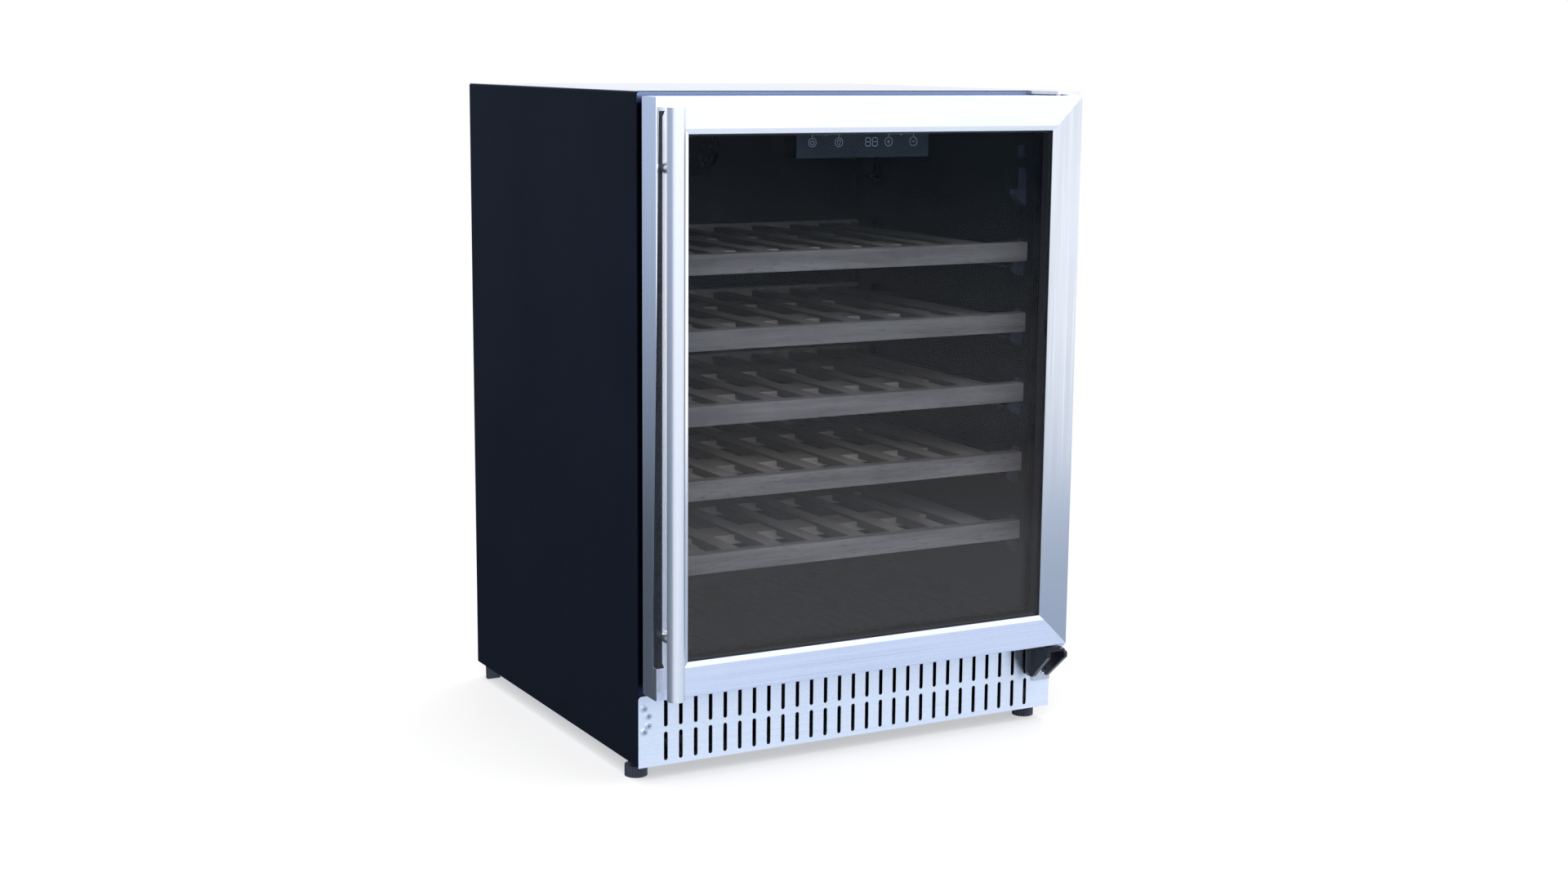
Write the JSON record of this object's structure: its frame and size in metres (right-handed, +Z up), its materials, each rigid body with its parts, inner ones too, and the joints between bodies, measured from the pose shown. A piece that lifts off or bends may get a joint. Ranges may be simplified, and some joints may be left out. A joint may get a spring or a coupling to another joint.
{
  "type": "undercounter refrigerator",
  "caption": "Undercounter glass-door refrigerator with sliding wooden bottle racks, a steel door frame with a tube handle, and a slotted kickplate.",
  "frame": {"origin": "on the floor at the centre of the footprint, handle and plug included", "axes": "+Z up, the door faces -Y, +X is the hinge side"},
  "size_m": [0.595, 0.641, 0.8215],
  "materials": {
    "black_textured_steel": "matte",
    "grey_flange_steel": "satin",
    "galvanised_steel": "satin",
    "insulation": "matte",
    "black_liner": "satin",
    "brushed_stainless": "satin",
    "satin_tube": "satin",
    "zinc_steel": "satin",
    "coil_aluminium": "satin",
    "condenser_steel": "satin",
    "fan_plastic": "satin",
    "compressor_paint": "gloss",
    "black_rubber": "matte",
    "copper": "satin",
    "white_plastic": "satin",
    "touch_glass": "gloss",
    "led_diffuser": "satin",
    "bracket_plastic": "satin",
    "beech_wood": "satin",
    "smoked_glass": "gloss",
    "spacer_bar": "matte",
    "black_plastic": "satin"
  },
  "bodies": {
    "cabinet": {"cabinet_wrapper": "black_textured_steel", "back_panel": "black_textured_steel", "base_plate": "galvanised_steel", "front_face_frame": "grey_flange_steel", "foam_insulation": "insulation", "inner_liner": "black_liner", "kickplate_grille": "brushed_stainless", "cabinet_screws": "zinc_steel", "evaporator_cover": "black_liner", "evaporator_coil": "coil_aluminium", "circulation_fan_frame": "fan_plastic", "compressor": "compressor_paint", "compressor_grommets": "black_rubber", "condenser_coil": "condenser_steel", "condenser_fan_frame": "fan_plastic", "refrigerant_lines": "copper", "drain_pan": "white_plastic", "drain_tube": "white_plastic", "power_board_box": "white_plastic", "control_housing": "black_liner", "touch_panel": "touch_glass", "light_strip": "led_diffuser", "temperature_sensor": "white_plastic", "wall_brackets": "bracket_plastic", "runner_channels": "galvanised_steel", "top_hinge_plate": "brushed_stainless", "bottom_hinge_bracket": "zinc_steel", "hinge_pins": "zinc_steel", "hinge_cover": "black_plastic", "rear_feet": "black_plastic", "rear_cover": "black_textured_steel", "power_cord": "black_rubber"},
    "door": {"door_left_stile": "brushed_stainless", "door_right_stile": "brushed_stainless", "door_top_rail": "brushed_stainless", "door_bottom_rail": "brushed_stainless", "outer_glass": "smoked_glass", "inner_glass": "smoked_glass", "glass_spacer": "spacer_bar", "door_inner_frame": "black_plastic", "door_gasket": "black_rubber", "handle_tube": "satin_tube", "handle_posts": "brushed_stainless", "handle_screws": "zinc_steel", "grip_insert": "black_plastic", "hinge_bushes": "white_plastic"},
    "circulation_fan": {"circulation_fan_rotor": "fan_plastic"},
    "condenser_fan": {"condenser_fan_rotor": "fan_plastic"},
    "left_foot": {"foot_left": "black_plastic"},
    "right_foot": {"foot_right": "black_plastic"},
    "rack_1": {"rack_1": "beech_wood", "rack_1_runners": "galvanised_steel"},
    "rack_2": {"rack_2": "beech_wood", "rack_2_runners": "galvanised_steel"},
    "rack_3": {"rack_3": "beech_wood", "rack_3_runners": "galvanised_steel"},
    "rack_4": {"rack_4": "beech_wood", "rack_4_runners": "galvanised_steel"},
    "rack_5": {"rack_5": "beech_wood", "rack_5_runners": "galvanised_steel"}
  },
  "joints": [
    {"name": "door_hinge", "type": "hinge", "parent": "cabinet", "child": "door", "pos_m": [0.28, -0.2565, 0.466], "axis": [0, 0, 1], "range_deg": [0, 105]},
    {"name": "rack_1_slide", "type": "slide", "parent": "cabinet", "child": "rack_1", "axis": [0, -1, 0], "range_m": [0, 0.061]},
    {"name": "rack_2_slide", "type": "slide", "parent": "cabinet", "child": "rack_2", "axis": [0, -1, 0], "range_m": [0, 0.061]},
    {"name": "rack_3_slide", "type": "slide", "parent": "cabinet", "child": "rack_3", "axis": [0, -1, 0], "range_m": [0, 0.061]},
    {"name": "rack_4_slide", "type": "slide", "parent": "cabinet", "child": "rack_4", "axis": [0, -1, 0], "range_m": [0, 0.061]},
    {"name": "rack_5_slide", "type": "slide", "parent": "cabinet", "child": "rack_5", "axis": [0, -1, 0], "range_m": [0, 0.061]},
    {"name": "circulation_fan_spin", "type": "hinge", "parent": "cabinet", "child": "circulation_fan", "pos_m": [0, 0.2345, 0.735], "axis": [0, 1, 0], "continuous": true},
    {"name": "condenser_fan_spin", "type": "hinge", "parent": "cabinet", "child": "condenser_fan", "pos_m": [-0.1, -0.0735, 0.07], "axis": [0, 1, 0], "continuous": true},
    {"name": "left_foot_screw", "type": "slide", "parent": "cabinet", "child": "left_foot", "axis": [0, 0, -1], "range_m": [0, 0.015]},
    {"name": "right_foot_screw", "type": "slide", "parent": "cabinet", "child": "right_foot", "axis": [0, 0, -1], "range_m": [0, 0.015]}
  ],
  "couplings": [
    {"joint": "rack_1_slide", "follows": "door_hinge", "m_per_rad": 0.033},
    {"joint": "rack_2_slide", "follows": "door_hinge", "m_per_rad": 0.033},
    {"joint": "rack_3_slide", "follows": "door_hinge", "m_per_rad": 0.033},
    {"joint": "rack_4_slide", "follows": "door_hinge", "m_per_rad": 0.033},
    {"joint": "rack_5_slide", "follows": "door_hinge", "m_per_rad": 0.033}
  ]
}
